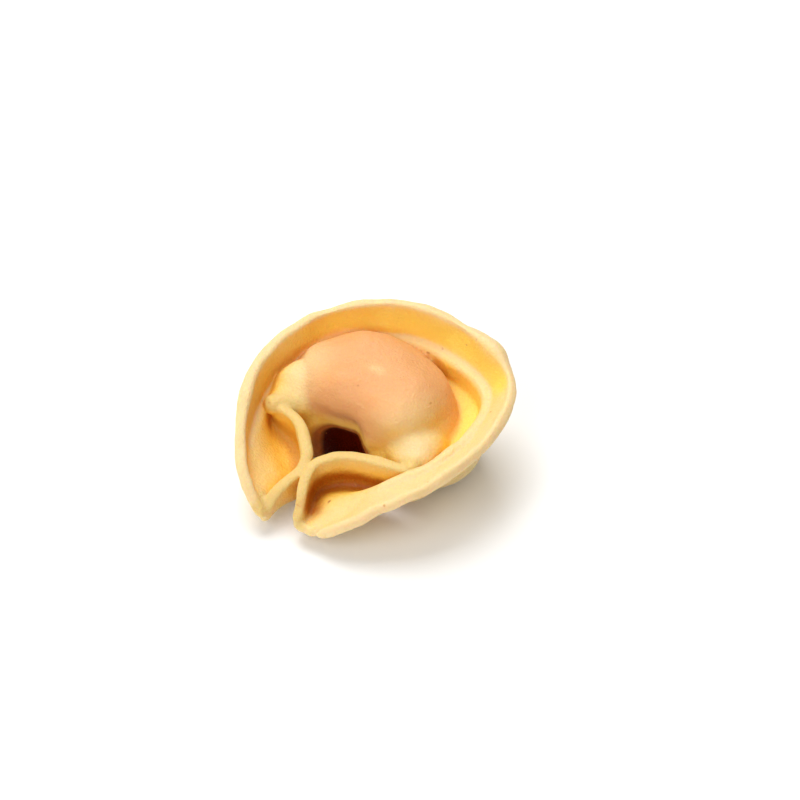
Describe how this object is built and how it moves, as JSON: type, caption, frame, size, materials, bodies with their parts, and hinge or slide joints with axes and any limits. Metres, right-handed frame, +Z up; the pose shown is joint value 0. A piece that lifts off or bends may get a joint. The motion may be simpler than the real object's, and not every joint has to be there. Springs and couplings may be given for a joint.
{
  "type": "tortellino",
  "caption": "Stuffed pasta ring: a half-moon of egg dough folded over a filling, its ends pressed together under a turned-up brim.",
  "frame": {"origin": "centre of the bounding box, on the surface the tortellino rests on", "axes": "+Z up through the ring's hole, -Y towards the two pressed dough ends, +X to the right seen from that side"},
  "size_m": [0.033, 0.033, 0.0157],
  "materials": {
    "egg_dough": "soft satin, fresh egg dough"
  },
  "bodies": {
    "root": {"tortellino": "egg_dough"}
  },
  "joints": []
}
